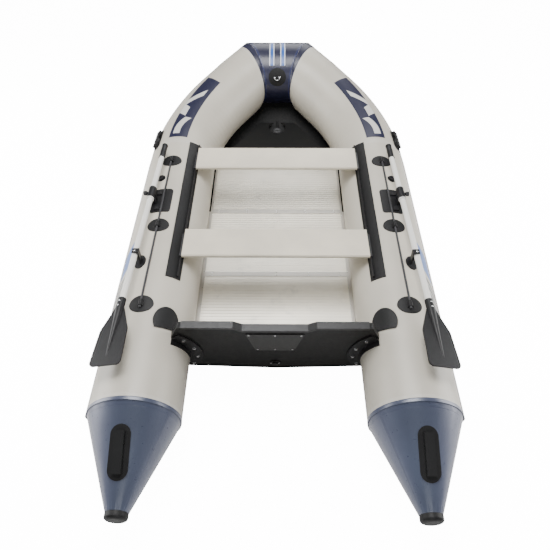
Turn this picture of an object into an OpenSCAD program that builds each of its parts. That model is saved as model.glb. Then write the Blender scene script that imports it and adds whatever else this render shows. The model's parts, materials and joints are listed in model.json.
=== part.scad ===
// Inflatable dinghy with a V bottom, slatted aluminium floor, two bench boards and a pair of oars.
// +Y points to the bow, +X to starboard, +Z up. The origin is under the middle of the boat.

/* [Buoyancy tubes] */
// Radius of the side tubes
tube_r = 210; // [180:1:240]
// Distance of each side tube's axis from the centreline
tube_half_spacing = 628; // [560:1:700]
// Length of the straight part of each side tube
straight_len = 1800; // [1500:10:2200]
// Radius of the bend that turns each tube towards the bow
bend_r = 950; // [850:10:1100]
// Angle through which each tube turns before it meets the bow tube
bend_angle = 42; // [38:1:46]
// Half length of the bow tube's axis, out to the mitre
mitre_half = 178; // [150:1:200]
// Height that the bow is lifted above the side tubes
bow_rise = 190; // [120:5:220]
// Thickness of the coated fabric
skin = 1.6; // [1.2:0.1:3]

// Reach of the rubbing band past the tubes
strake_out = 14; // [8:1:20]

/* [Stern cones] */
// Length of each fabric cone
cone_len = 395; // [300:5:480]
// Radius of the cone at its end cap
cone_end_r = 47; // [40:1:60]
// Length of the moulded end cap
cone_cap_len = 30; // [20:1:50]

/* [Bottom and floor] */
// Radius of the inflatable keel
keel_r = 40; // [30:1:50]
// Thickness of the floor panels
floor_t = 12; // [10:1:18]
// Length of each aluminium floor panel
panel_len = 520; // [420:5:600]
// Half width of the aluminium floor
floor_half_w = 412; // [380:1:425]
// Radius of the hole over the keel valve
access_r = 62; // [45:1:75]

/* [Transom] */
// Thickness of the transom board
transom_t = 30; // [24:1:40]
// Height of the transom's top above the side tubes
transom_rise = 56; // [30:2:90]
// Depth of the lowered middle of the transom's top
motor_dip = 27; // [15:1:40]
// Backward lean of the transom
transom_rake = 9; // [4:1:14]
// Radius of the drain's bore
drain_r = 12; // [8:0.5:16]

/* [Benches] */
// Distance from each bead in to the bench's end
bench_inset = 8; // [5:1:20]
// Width of a bench board, along the boat
bench_w = 198; // [160:2:240]
// Thickness of a bench board
bench_t = 22; // [18:1:30]
// Radius of the bead that the benches slide on
bead_r = 5; // [4:0.5:7]

/* [Oars] */
// Radius of an oar shaft
shaft_r = 15; // [12:0.5:18]
// Height of the stowed shafts above the side tubes
oar_lift = 56; // [52:1:80]
// Angle between a stowed oar and the centreline
oar_toe = 1.5; // [0:0.1:3]
// Width of an oar blade
blade_w = 150; // [120:2:160]
// Length of an oar blade past its socket
blade_len = 295; // [260:5:380]

/* [Ropes] */
// Diameter of the grab rope
rope_d = 11; // [8:0.5:14]

/* [Hidden] */
$fn = 96;
RINGS = 14;          // rings along a bow arm
SIDES = 48;          // sides of a faceted tube
FIT = 0.4;           // gap between parts that slide past each other
PIN_GAP = 0.05;      // radial gap of a pin in its bore
SEAT_GAP = 0.02;     // gap under a patch welded to the fabric
shaft_out_r = tube_r + SEAT_GAP;
mitre_angle = (90 - bend_angle) / 2;
bend_x = bend_r * (1 - cos(bend_angle));
bend_y = bend_r * sin(bend_angle);
run_x = tube_half_spacing - bend_x - mitre_half;
run_y = run_x / tan(bend_angle);
arm_y = bend_y + run_y;
total_len = cone_cap_len + cone_len + straight_len + arm_y + tube_r + strake_out;
seam_y = -total_len / 2 + cone_cap_len + cone_len;
arc_y = seam_y + straight_len;
bow_y = arc_y + arm_y;
bow_z = tube_r + bow_rise;
run_len = run_x / sin(bend_angle);
arc_len = bend_r * bend_angle * PI / 180;
path_len = arc_len + run_len;

// bottom fabric
chine_angle = -150;
keel_clear = 0.6;
bottom_z = keel_clear + skin;
stem_y = bow_y + tube_r * sin(chine_angle);
stem_z = bow_z + tube_r * cos(chine_angle);

// transom's place: its aft face at the height of the keel line
transom_y = seam_y + 395;
bottom_aft_y = transom_y - 4;

// floor
keel_z = bottom_z + keel_r + 2 * FIT;
floor_z0 = keel_z + keel_r + 2;
floor_z1 = floor_z0 + floor_t;
joiner_wall = 2;
joiner_gap = 10;
joiner_lap = 12;
floor_aft_y = transom_y + 36;
bow_board_y0 = floor_aft_y + 3 * (panel_len + joiner_gap) + joiner_lap + joiner_wall;
bow_board_len = 380;
bow_board_pitch = 7;
bow_board_t = 9;
access_y = 325;
stringer_w = 13;
stringer_wide = 33;

// transom: its own axes have x across, y up the board and z out of the aft face
notch_x0 = 150;
notch_x1 = 190;
transom_corner_x = tube_half_spacing - 178;
board_foot_x = tube_half_spacing - 198;
board_low_x = tube_half_spacing - 88;
board_side_x = tube_half_spacing - 128;
holder_in = 4;
flange_h = 58;
flange_t = 9;
holder_a0 = 43;
holder_a1 = 146;
flange_a1 = 128;
bolt_angles = [54, 76, 98, 120];
bolt_r = 4;
drain_h = 72;
pad_t = 5;

// benches
bead_angle = -36;
track_t = 4;
bead_lift = 10;
bead_dist = tube_r + track_t + bead_lift;
bead_x = tube_half_spacing + bead_dist * sin(bead_angle);
bead_z = tube_r + bead_dist * cos(bead_angle);
bench_len = 2 * (bead_x - bench_inset);
hook_wall = 3;
bench_z0 = bead_z + bead_r + FIT + hook_wall;
track_y0 = seam_y + 680;
track_y1 = arc_y - 2;
bench_front_y = seam_y + 1625;
bench_rear_y = seam_y + 906;

// oars and rowlocks
lock_x = tube_half_spacing + 69;
lock_y = seam_y + 1225;
lock_z = 2 * tube_r + 10;
block_x = 26;
block_y = 30;
block_z0 = lock_z - 12;
block_z1 = lock_z + 16;
trunnion_r = 5;
trunnion_len = 9;
swivel_pin_r = 7;
swivel_pin_z = lock_z - 9;
collar_r = shaft_r + 6;
oar_z = 2 * tube_r + oar_lift;
collar_len = 84;
grip_len = 125;
grip_r = 18;
oar_fore = 446;
socket_at = 745;
socket_len = 62;
blade_tilt = 15;
blade_t = 7;
clip_at = 455;

// rope fittings: distance forward of the stern seam
pad_at = [495, 1030, 1590];
pad_angle = 4;
rope_pad_t = 3;
rope_lift = rope_pad_t + rope_d / 2 + 1.6;

// ---------- shared geometry ----------

// Height of the tube's axis above the straight part, at distance t (0 to 1) along the lift
function lift(y) = y <= arc_y ? 0 : bow_rise * pow((y - arc_y) / arm_y, 2);
function lift_slope(y) = y <= arc_y ? 0 : 2 * bow_rise * (y - arc_y) / (arm_y * arm_y);

// Heading of the starboard tube at distance s along its bow arm
function heading(s) = min(s / bend_r * 180 / PI, bend_angle);

// Frame of the starboard tube at distance s along the bow arm: [centre, outboard, up]
function arm_frame(s) =
    let (
        a = heading(s),
        over = max(s - arc_len, 0),
        x = tube_half_spacing - bend_r * (1 - cos(a)) - over * sin(a),
        y = arc_y + bend_r * sin(a) + over * cos(a),
        p = atan(lift_slope(y) * cos(a))
    )
    [[x, y, tube_r + lift(y)], [cos(a), sin(a), 0], [sin(a) * sin(p), -cos(a) * sin(p), cos(p)]];

// Frame of the mitre, where the arm meets the bow tube
mitre_frame = [[mitre_half, bow_y, bow_z], [tan(mitre_angle), 1, 0], [0, 0, 1]];

// Frames from the start of the arm to the mitre
arm_frames = concat([for (i = [0 : RINGS - 2]) arm_frame(path_len * i / RINGS)], [mitre_frame]);
function along(y) = [[tube_half_spacing, y, tube_r], [1, 0, 0], [0, 0, 1]];

// Point at radius r and at angle a, from the crown towards the outboard side
function at_frame(f, r, a) = f[0] + r * sin(a) * f[1] + r * cos(a) * f[2];
function flip_x(p) = [-p[0], p[1], p[2]];

// Triangulated skin over rings of n points each, closed at both ends
function ring_faces(rings, n) = concat(
    [for (i = [0 : rings - 2], j = [0 : n - 1]) [i * n + j, i * n + (j + 1) % n, (i + 1) * n + j]],
    [for (i = [0 : rings - 2], j = [0 : n - 1])
        [i * n + (j + 1) % n, (i + 1) * n + (j + 1) % n, (i + 1) * n + j]]
);
function cap_face(n, first, turn) = [for (j = [0 : n - 1]) first + (turn ? n - 1 - j : j)];

// Closed sweep of one outline, given as a list of rings
module sweep(rings) {
    n = len(rings[0]);
    count = len(rings);
    polyhedron(
        [for (r = rings) each r],
        concat(ring_faces(count, n), [cap_face(n, 0, true), cap_face(n, (count - 1) * n, false)])
    );
}

// Open tube wall between an outer and an inner sweep
function wall_ring(f, r0, r1) = concat(
    [for (j = [0 : SIDES - 1]) at_frame(f, r1, -j * 360 / SIDES)],
    [for (j = [0 : SIDES - 1]) at_frame(f, r0, -j * 360 / SIDES)]
);
module tube_wall(frames, r0, r1) {
    n = SIDES;
    m = 2 * n;
    c = len(frames);
    polyhedron(
        [for (f = frames) each wall_ring(f, r0, r1)],
        concat(
            [for (i = [0 : c - 2], j = [0 : n - 1]) [i * m + j, (i + 1) * m + j, i * m + (j + 1) % n]],
            [for (i = [0 : c - 2], j = [0 : n - 1])
                [i * m + (j + 1) % n, (i + 1) * m + j, (i + 1) * m + (j + 1) % n]],
            [for (i = [0 : c - 2], j = [0 : n - 1])
                [i * m + n + j, i * m + n + (j + 1) % n, (i + 1) * m + n + j]],
            [for (i = [0 : c - 2], j = [0 : n - 1])
                [i * m + n + (j + 1) % n, (i + 1) * m + n + (j + 1) % n, (i + 1) * m + n + j]],
            [for (j = [0 : n - 1]) [j, (j + 1) % n, n + (j + 1) % n, n + j]],
            [for (j = [0 : n - 1])
                [for (k = [j, n + j, n + (j + 1) % n, (j + 1) % n]) (c - 1) * m + k]]
        )
    );
}

// Places children on the starboard tube, port tube, or both
module port() { mirror([1, 0, 0]) children(); }
module both() {
    children();
    port() children();
}

// Sector of a straight tube's shell: angles from the crown, outboard positive
module shell_sector(y0, y1, r0, r1, a0, a1) {
    translate([tube_half_spacing, y1, tube_r])
        rotate([90, 0, 0])
            rotate_extrude(angle = a1 - a0, start = 90 - a1)
                translate([r0, 0]) square([r1 - r0, y1 - y0]);
}

// Patch welded to the straight tube: its outline is drawn round the point at angle a
module tube_patch(y, a, t) {
    intersection() {
        shell_sector(y - tube_r, y + tube_r, shaft_out_r, shaft_out_r + t, a - 50, a + 50);
        translate([tube_half_spacing, y, tube_r])
            rotate([0, a, 0])
                linear_extrude(tube_r + 4 * t) children();
    }
}

// Outline points of an ellipse and of a rectangle with round corners
function ellipse_points(rx, ry) = [for (a = [0 : 10 : 350]) [rx * cos(a), ry * sin(a)]];
function round_rect(hx, hy, r) = [
    for (q = [0 : 3], a = [0 : 18 : 90])
        [(q == 0 || q == 3 ? 1 : -1) * (hx - r), (q < 2 ? 1 : -1) * (hy - r)]
            + r * [cos(90 * q + a), sin(90 * q + a)]
];

// Puts children on the tube's surface at y and angle a, with +Z straight out of it
module on_tube(y, a, lift_by = 0) {
    translate([tube_half_spacing, y, tube_r])
        rotate([0, a, 0])
            translate([0, 0, tube_r + lift_by]) children();
}

// ---------- tubes ----------

module side_tube() {
    color("gainsboro")
        translate([tube_half_spacing, arc_y, tube_r])
            rotate([90, 0, 0])
                difference() {
                    cylinder(h = straight_len, r = tube_r);
                    translate([0, 0, -1]) cylinder(h = straight_len + 2, r = tube_r - skin);
                }
}
module side_tube_port() { port() side_tube(); }
module side_tube_starboard() { side_tube(); }

module bow_arm() { color("gainsboro") tube_wall(arm_frames, tube_r - skin, tube_r); }
module bow_arm_port() { port() bow_arm(); }
module bow_arm_starboard() { bow_arm(); }

// The bow tube runs across, between the two mitres
module bow_tube() {
    far = mitre_half + tube_r;
    color("midnightblue")
        translate([0, bow_y, bow_z])
            difference() {
                rotate([0, 90, 0]) cylinder(h = 2 * far, r = tube_r, center = true);
                rotate([0, 90, 0]) cylinder(h = 2 * far + 2, r = tube_r - skin, center = true);
                for (s = [-1, 1])
                    scale([s, 1, 1]) mitre_cut(far);
            }
}
module mitre_cut(far) {
    reach = 2 * tube_r;
    drop = reach * tan(mitre_angle);
    translate([0, 0, -reach])
        linear_extrude(2 * reach)
            polygon([
                [mitre_half - SEAT_GAP + drop, reach], [far + reach, reach],
                [far + reach, -reach], [mitre_half - SEAT_GAP - drop, -reach]
            ]);
}

// Fabric walls inside the tubes that part the air chambers
baffle_t = 1.2;
module chamber_baffles() {
    color("lightgray")
        both()
            for (y = [seam_y + 2, arc_y - 6])
                translate([tube_half_spacing, y, tube_r])
                    rotate([-90, 0, 0]) cylinder(h = baffle_t, r = tube_r - skin - SEAT_GAP);
}

module stern_cone() {
    color("slategray")
        translate([tube_half_spacing, seam_y - SEAT_GAP, tube_r])
            rotate([90, 0, 0])
                rotate_extrude()
                    polygon([
                        [tube_r - skin, 0], [tube_r, 0], [cone_end_r, cone_len],
                        [0, cone_len], [0, cone_len - skin], [cone_end_r - skin, cone_len - skin]
                    ]);
}
module stern_cone_port() { port() stern_cone(); }
module stern_cone_starboard() { stern_cone(); }

// Moulded cap on the end of each cone, with a rounded nose
module cone_caps() {
    nose_r = cone_end_r * 0.6;
    edge = cone_cap_len * 0.45;
    lip = 1.5;
    color("black")
        both()
            translate([tube_half_spacing, seam_y - cone_len - 2 * SEAT_GAP, tube_r])
                rotate([90, 0, 0])
                    rotate_extrude()
                        polygon(concat(
                            [[0, 0], [cone_end_r + lip, 0], [cone_end_r + lip, cone_cap_len - edge]],
                            [for (a = [15 : 15 : 90]) [
                                nose_r + (cone_end_r + lip - nose_r) * cos(a),
                                cone_cap_len - edge + edge * sin(a)
                            ]],
                            [[0, cone_cap_len]]
                        ));
}

// Carrying handle moulded on a plate: two feet and a raised bar
module handle(len, width, bar_w, rise) {
    plate_t = 3;
    foot = width * 0.62;
    linear_extrude(plate_t)
        hull()
            for (s = [-1, 1])
                translate([0, s * (len - width) / 2]) circle(d = width);
    translate([0, 0, plate_t])
        for (s = [-1, 1])
            translate([-bar_w / 2, s * (len / 2 - foot) - foot / 2, 0]) cube([bar_w, foot, rise]);
    translate([-bar_w / 2, -len / 2 + foot / 2, plate_t + rise]) cube([bar_w, len - foot, 8]);
}
cone_slope = atan((tube_r - cone_end_r) / cone_len);
cone_handle_at = 195;
module cone_handles() {
    r = tube_r - (tube_r - cone_end_r) * cone_handle_at / cone_len;
    color("black")
        both()
            translate([tube_half_spacing, seam_y - cone_handle_at, tube_r + r + FIT])
                rotate([cone_slope, 0, 0])
                    handle(220, 84, 40, 14);
}

// Handles on the outboard shoulder of each bow arm
side_handle_at = 85;
side_handle_angle = 47;
module on_arm(s, a, lift_by) {
    f = arm_frame(s);
    pitch = atan(lift_slope(f[0][1]) * cos(heading(s)));
    translate(f[0])
        rotate([0, 0, heading(s)])
            rotate([pitch, a, 0])
                translate([0, 0, tube_r + lift_by]) children();
}
module side_handles() {
    color("black")
        both()
            on_arm(side_handle_at, side_handle_angle, FIT) handle(190, 62, 34, 10);
}

// ---------- bottom ----------

function keel_line(y) = y <= arc_y ? keel_clear :
    keel_clear + (stem_z - keel_clear) * pow((y - arc_y) / (stem_y - arc_y), 3.5);
bottom_frames = concat(
    [for (y = [bottom_aft_y, (bottom_aft_y + arc_y) / 2]) along(y)],
    [for (i = [0 : RINGS - 2]) arm_frame(path_len * i / RINGS)],
    [mitre_frame]
);
BOTTOM_COLS = 10;
function bottom_row(f, up) =
    let (e = at_frame(f, tube_r + skin, chine_angle), k = keel_line(e[1]))
    [for (j = [-BOTTOM_COLS : BOTTOM_COLS])
        let (u = abs(j) / BOTTOM_COLS)
        [e[0] * j / BOTTOM_COLS, e[1], k + (e[2] - k) * u + up]];
// Closed sheet between a lower and an upper grid of points, each a list of rows
module sheet(lower, upper) {
    rows = len(lower);
    n = len(lower[0]);
    top = rows * n;
    function quad(a, b, c, d) = [[a, b, c], [a, c, d]];
    polyhedron(
        concat([for (r = lower) each r], [for (r = upper) each r]),
        concat(
            [for (i = [0 : rows - 2], j = [0 : n - 2])
                each quad(i * n + j, i * n + j + 1, (i + 1) * n + j + 1, (i + 1) * n + j)],
            [for (i = [0 : rows - 2], j = [0 : n - 2])
                each quad(top + i * n + j, top + (i + 1) * n + j,
                    top + (i + 1) * n + j + 1, top + i * n + j + 1)],
            [for (j = [0 : n - 2]) each quad(j, top + j, top + j + 1, j + 1)],
            [for (j = [0 : n - 2], e = (rows - 1) * n)
                each quad(e + j + 1, top + e + j + 1, top + e + j, e + j)],
            [for (i = [0 : rows - 2]) each quad(i * n, (i + 1) * n, top + (i + 1) * n, top + i * n)],
            [for (i = [0 : rows - 2], e = n - 1)
                each quad(i * n + e, top + i * n + e, top + (i + 1) * n + e, (i + 1) * n + e)]
        )
    );
}
module hull_bottom() {
    color("dimgray")
        sheet([for (f = bottom_frames) bottom_row(f, 0)], [for (f = bottom_frames) bottom_row(f, skin)]);
}

// The keel follows the keel line and tapers under the bow board
keel_fore = 640;
keel_tip_r = 8;
function keel_radius(y) =
    y <= arc_y ? keel_r : keel_r - (keel_r - keel_tip_r) * (y - arc_y) / keel_fore;
function keel_axis(y) = keel_line(y) + skin + 2 * FIT + keel_radius(y);
function keel_top(y) = keel_axis(y) + keel_radius(y);
KEEL_SIDES = 32;
function keel_ring(y, k) = [
    for (j = [0 : KEEL_SIDES - 1])
        let (a = -j * 360 / KEEL_SIDES)
        [k * keel_radius(y) * sin(a), y, keel_axis(y) + k * keel_radius(y) * cos(a)]
];
module keel_tube() {
    aft_y = transom_y + 45;
    color("gray")
        sweep(concat(
            [keel_ring(aft_y, 0.7), keel_ring(aft_y + 25, 1)],
            [for (i = [0 : 10]) keel_ring(arc_y + keel_fore * i / 10, 1)],
            [keel_ring(arc_y + keel_fore + 4, 0.6)]
        ));
}

bow_board_z = floor_z1 - bow_board_t;
module on_bow_board() {
    translate([0, bow_board_y0, bow_board_z]) rotate([bow_board_pitch, 0, 0]) children();
}
module bow_board() {
    fore_half = 150;
    round_r = 40;
    color([0.12, 0.12, 0.13])
        on_bow_board()
            difference() {
                linear_extrude(bow_board_t)
                    hull() {
                        translate([-floor_half_w + 20, 0]) square([2 * floor_half_w - 40, 10]);
                        for (s = [-1, 1])
                            translate([s * (fore_half - round_r), bow_board_len - round_r]) circle(r = round_r);
                    }
                translate([0, access_y, -1]) cylinder(h = bow_board_t + 2, r = access_r);
            }
}

// Valve of the inflatable keel, seen through the hole in the bow board
valve_r = 31;
module valve_body(r) {
    flange = 3;
    rotate_extrude()
        polygon([
            [0, 0], [r, 0], [r, flange - 1], [r - 1, flange], [r * 0.72, flange],
            [r * 0.72, flange + 5], [0, flange + 5]
        ]);
}
module valve_cap(r) {
    grip_h = 9;
    cylinder(h = 3, r = r * 0.68);
    translate([-r * 0.55, -3, 3]) cube([r * 1.1, 6, grip_h - 3]);
}
module on_keel_valve() {
    y = bow_board_y0 + access_y * cos(bow_board_pitch);
    slope = atan((keel_top(y + 10) - keel_top(y - 10)) / 20);
    translate([0, y, keel_top(y) + 4 * FIT]) rotate([slope, 0, 0]) children();
}
module keel_valve_cap() {
    color("black") on_keel_valve() translate([0, 0, 8 + FIT]) valve_cap(valve_r);
}

// Hollow extruded slats, ribbed on top, with their grooves open below
RIBS = 26;
module floor_panel(index) {
    y0 = floor_aft_y + index * (panel_len + joiner_gap);
    pitch = panel_len / RIBS;
    rib_h = 1.2;
    edge = 10;
    shell = 2.5;
    color("silver")
        translate([-floor_half_w, y0, floor_z0])
            rotate([90, 0, 90])
                linear_extrude(2 * floor_half_w)
                    polygon(concat(
                        [[0, 0], [edge, 0]],
                        [for (i = [1 : RIBS - 2], k = [3, pitch - 3])
                            [pitch * i + k, i % 2 == 0 ? 0 : floor_t - shell - 1]],
                        [[panel_len - edge, 0], [panel_len, 0], [panel_len, floor_t - rib_h]],
                        [for (i = [RIBS - 1 : -1 : 1], k = [0 : 3])
                            [pitch * i + [2, 1, -1, -2][k], floor_t - (k == 1 || k == 2 ? rib_h : 0)]],
                        [[0, floor_t - rib_h]]
                    ));
}
module floor_panel_aft() { floor_panel(0); }
module floor_panel_mid() { floor_panel(1); }
module floor_panel_fore() { floor_panel(2); }

// H sections that join the panels
module floor_joiners() {
    lap = joiner_lap;
    w = joiner_wall;
    color("darkgray")
        for (i = [1 : 3]) {
            y = floor_aft_y + i * (panel_len + joiner_gap) - joiner_gap / 2;
            half = joiner_gap / 2;
            translate([-floor_half_w, y, floor_z0])
                rotate([90, 0, 90])
                    linear_extrude(2 * floor_half_w) {
                        translate([-half - lap, floor_t + SEAT_GAP]) square([2 * (half + lap), w]);
                        translate([-half + SEAT_GAP, -SEAT_GAP - w])
                            square([2 * half - 2 * SEAT_GAP, floor_t + w + 4 * SEAT_GAP]);
                        translate([-half - lap, -SEAT_GAP - w]) square([2 * (half + lap), w]);
                    }
        }
}

// Channels that hold the panels' ends along both sides
module floor_stringers() {
    w = joiner_wall;
    color("darkgray")
        both()
            translate([floor_half_w + SEAT_GAP, floor_aft_y, floor_z0 - w - 1]) {
                cube([stringer_w, 3 * panel_len + 2 * joiner_gap, floor_t + 2 * w + 1]);
                cube([stringer_wide, 2 * panel_len + joiner_gap, floor_t + 2 * w + 1]);
            }
}

// ---------- transom ----------

// Board's own axes: x across, y up the board, z out of its aft face
module on_transom() {
    translate([0, transom_y, 0])
        rotate([90 + transom_rake, 0, 0])
            children();
}
// Both side tubes with a margin, as the transom has to clear them
module tube_clearance(margin) {
    for (s = [-1, 1])
        translate([s * tube_half_spacing, seam_y, tube_r])
            rotate([-90, 0, 0]) cylinder(h = straight_len, r = tube_r + margin);
}
board_top = (2 * tube_r + transom_rise) / cos(transom_rake);
board_foot = 14;
module transom_outline() {
    r = 24;
    polygon(concat(
        [[0, board_foot], [board_foot_x, 44], [board_low_x, 60], [board_side_x, 340]],
        [for (a = [0 : 15 : 90]) [transom_corner_x - r + r * cos(a), board_top - r + r * sin(a)]],
        [[notch_x1, board_top], [notch_x0, board_top - motor_dip], [-notch_x0, board_top - motor_dip],
            [-notch_x1, board_top]],
        [for (a = [90 : 15 : 180]) [-transom_corner_x + r + r * cos(a), board_top - r + r * sin(a)]],
        [[-board_side_x, 340], [-board_low_x, 60], [-board_foot_x, 44]]
    ));
}
module bolt_places() {
    for (s = [-1, 1], a = bolt_angles) {
        d = tube_r + holder_in + flange_h * 0.55;
        dz = d * cos(a);
        translate([s * (tube_half_spacing - d * sin(a)), (tube_r + dz) / cos(transom_rake)]) children();
    }
}
module transom_board() {
    color([0.2, 0.2, 0.21])
        difference() {
            on_transom()
                difference() {
                    translate([0, 0, -transom_t]) linear_extrude(transom_t) transom_outline();
                    bolt_places()
                        translate([0, 0, -transom_t - 1]) cylinder(h = transom_t + 2, r = bolt_r + 0.2);
                    translate([0, drain_h, -transom_t - 1]) cylinder(h = transom_t + 2, r = drain_r + 2);
                }
            tube_clearance(holder_in);
        }
}

// Cap that wraps the transom's top edge
trim_t = 2.5;
trim_drop = 16;
module trim_band(x0, x1, y0, y1) {
    z0 = -transom_t - trim_t;
    translate([0, 0, z0])
        linear_extrude(transom_t + 2 * trim_t)
            polygon([
                [x0, y0 - trim_drop], [x1, y1 - trim_drop],
                [x1, y1 + trim_t], [x0, y0 + trim_t]
            ]);
}
module transom_trim() {
    low = board_top - motor_dip;
    end = transom_corner_x - 24;
    color("black")
        difference() {
            on_transom()
                union() {
                    trim_band(-notch_x0, notch_x0, low, low);
                    for (s = [-1, 1])
                        scale([s, 1, 1]) {
                            trim_band(notch_x0, notch_x1, low, board_top);
                            trim_band(notch_x1, end, board_top, board_top);
                        }
                }
            on_transom()
                translate([0, 0, -transom_t - SEAT_GAP])
                    linear_extrude(transom_t + 2 * SEAT_GAP) transom_outline();
        }
}

// Moulded holder: a foot welded round the tube and a flange on each face of the board
module flange_slab(z0, z1) {
    on_transom() translate([-1000, -200, z0]) cube([2000, 1000, z1 - z0]);
}
module holder_sector(r0, r1, a1) {
    shell_sector(transom_y - 260, transom_y + 200, r0, r1, -a1, -holder_a0);
}
module transom_holder() {
    foot_reach = 34;
    color("black")
        difference() {
            union() {
                intersection() {
                    holder_sector(shaft_out_r, tube_r + holder_in - SEAT_GAP, holder_a1);
                    flange_slab(-transom_t - foot_reach, foot_reach);
                }
                intersection() {
                    holder_sector(tube_r + holder_in - 2 * SEAT_GAP, tube_r + holder_in + flange_h, flange_a1);
                    union() {
                        flange_slab(SEAT_GAP, flange_t);
                        flange_slab(-transom_t - flange_t, -transom_t - SEAT_GAP);
                    }
                }
            }
            on_transom()
                bolt_places()
                    translate([0, 0, -transom_t - 40]) cylinder(h = transom_t + 80, r = bolt_r + 0.2);
        }
}
module transom_holder_port() { port() transom_holder(); }
module transom_holder_starboard() { transom_holder(); }

module transom_bolts() {
    washer_r = 9;
    head_r = 7;
    span = transom_t + 2 * flange_t;
    color("silver")
        on_transom()
            bolt_places()
                translate([0, 0, flange_t]) {
                    translate([0, 0, -span - 7]) cylinder(h = span + 12, r = bolt_r);
                    translate([0, 0, SEAT_GAP]) cylinder(h = 1.5, r = washer_r);
                    translate([0, 0, 1.5]) cylinder(h = 4.5, r = head_r);
                    translate([0, 0, -span - SEAT_GAP - 1.5]) cylinder(h = 1.5, r = washer_r);
                    translate([0, 0, -span - 7.5]) cylinder(h = 6, r = head_r - 0.5, $fn = 6);
                }
}

// Round cheeks on the tubes, over the ends of the holders
cheek_angle = -32;
cheek_lift = 1;
module transom_cheeks() {
    cheek_y = transom_y + 20;
    color("black")
        both()
            difference() {
                intersection() {
                    shell_sector(cheek_y - 120, cheek_y + 120, tube_r + holder_in + SEAT_GAP,
                        tube_r + holder_in + 4, -80, 0);
                    translate([tube_half_spacing, cheek_y, tube_r])
                        rotate([0, cheek_angle, 0])
                            scale([0.82, 1, 1]) cylinder(h = 2 * tube_r, r = 78);
                }
                flange_slab(-transom_t - flange_t - FIT, flange_t + FIT);
            }
}

// Clamp pads: a tapered one on the aft face and a plain one on the fore face
pad_screws = [[-122, 408], [0, 408], [122, 408], [-84, 248], [0, 248], [84, 248]];
screw_r = 5;
screw_h = 2;
module motor_pads() {
    color("dimgray")
        on_transom() {
            translate([0, 0, SEAT_GAP])
                difference() {
                    linear_extrude(pad_t)
                        polygon([[-94, 238], [94, 238], [136, 420], [-136, 420]]);
                    for (p = pad_screws)
                        translate([p[0], p[1], pad_t - screw_h - FIT])
                            cylinder(h = pad_t, r = screw_r + FIT);
                }
            translate([-120, 320, -transom_t - SEAT_GAP - pad_t]) cube([240, 100, pad_t]);
        }
}
module motor_pad_screws() {
    color("silver")
        on_transom()
            for (p = pad_screws)
                translate([p[0], p[1], pad_t + 2 * SEAT_GAP - screw_h - FIT])
                    cylinder(h = screw_h, r1 = screw_r - 1.5, r2 = screw_r);
}

module drain_flange() {
    color("black")
        on_transom()
            difference() {
                union() {
                    translate([0, drain_h, SEAT_GAP]) cylinder(h = 5, r = 28);
                    translate([0, drain_h, -transom_t - 4]) cylinder(h = transom_t + 5, r = drain_r + 2 - SEAT_GAP);
                }
                translate([0, drain_h, -transom_t - 10]) cylinder(h = transom_t + 20, r = drain_r);
            }
}
module drain_plug() {
    color("black")
        on_transom()
            translate([0, drain_h, 0]) {
                translate([0, 0, -22]) cylinder(h = 32, r = drain_r - PIN_GAP);
                translate([0, 0, 5 + FIT]) cylinder(h = 7, r = drain_r + 4);
            }
}

// ---------- benches ----------

module bench_track() {
    color("black") {
        shell_sector(track_y0, track_y1, shaft_out_r, tube_r + track_t, -42, -20);
        shell_sector(track_y0 + 12, track_y1 - 12, tube_r + track_t - 0.01, bead_dist,
            bead_angle - 0.35, bead_angle + 0.35);
        translate([bead_x, track_y1 - 12, bead_z])
            rotate([90, 0, 0]) cylinder(h = track_y1 - track_y0 - 24, r = bead_r);
    }
}
module bench_track_port() { port() bench_track(); }
module bench_track_starboard() { bench_track(); }

module bench(y) {
    edge = 6;
    color("antiquewhite")
        translate([-bench_len / 2, y - bench_w / 2, bench_z0])
            rotate([90, 0, 90])
                linear_extrude(bench_len)
                    polygon([
                        [edge, 0], [bench_w - edge, 0], [bench_w, edge], [bench_w, bench_t - edge],
                        [bench_w - edge, bench_t], [edge, bench_t], [0, bench_t - edge], [0, edge]
                    ]);
}
module bench_front() { bench(bench_front_y); }
module bench_rear() { bench(bench_rear_y); }

// Channel under each bench end that slides on the bead
module bench_hooks(y) {
    hook_w = bench_w - 40;
    half = bead_r + FIT;
    slot = bead_r - 1;
    color("dimgray")
        both()
            difference() {
                translate([bead_x - half - hook_wall - 26, y - hook_w / 2, bead_z - bead_r * 0.6])
                    cube([2 * (half + hook_wall) + 26, hook_w, bench_z0 - SEAT_GAP - bead_z + bead_r * 0.6]);
                translate([bead_x, y - hook_w, bead_z])
                    rotate([-90, 0, 0]) cylinder(h = 2 * hook_w, r = half);
                translate([bead_x - slot, y - hook_w, bead_z - 40]) cube([2 * slot, 2 * hook_w, 40]);
                translate([bead_x - 60, y - hook_w, bead_z - 40])
                    cube([60 - half - hook_wall, 2 * hook_w, 40 + bead_r]);
                translate([tube_half_spacing, y - hook_w, tube_r])
                    rotate([-90, 0, 0]) cylinder(h = 2 * hook_w, r = tube_r + track_t + 1);
            }
}
module bench_front_hooks() { bench_hooks(bench_front_y); }
module bench_rear_hooks() { bench_hooks(bench_rear_y); }

// ---------- oars and rowlocks ----------

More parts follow.
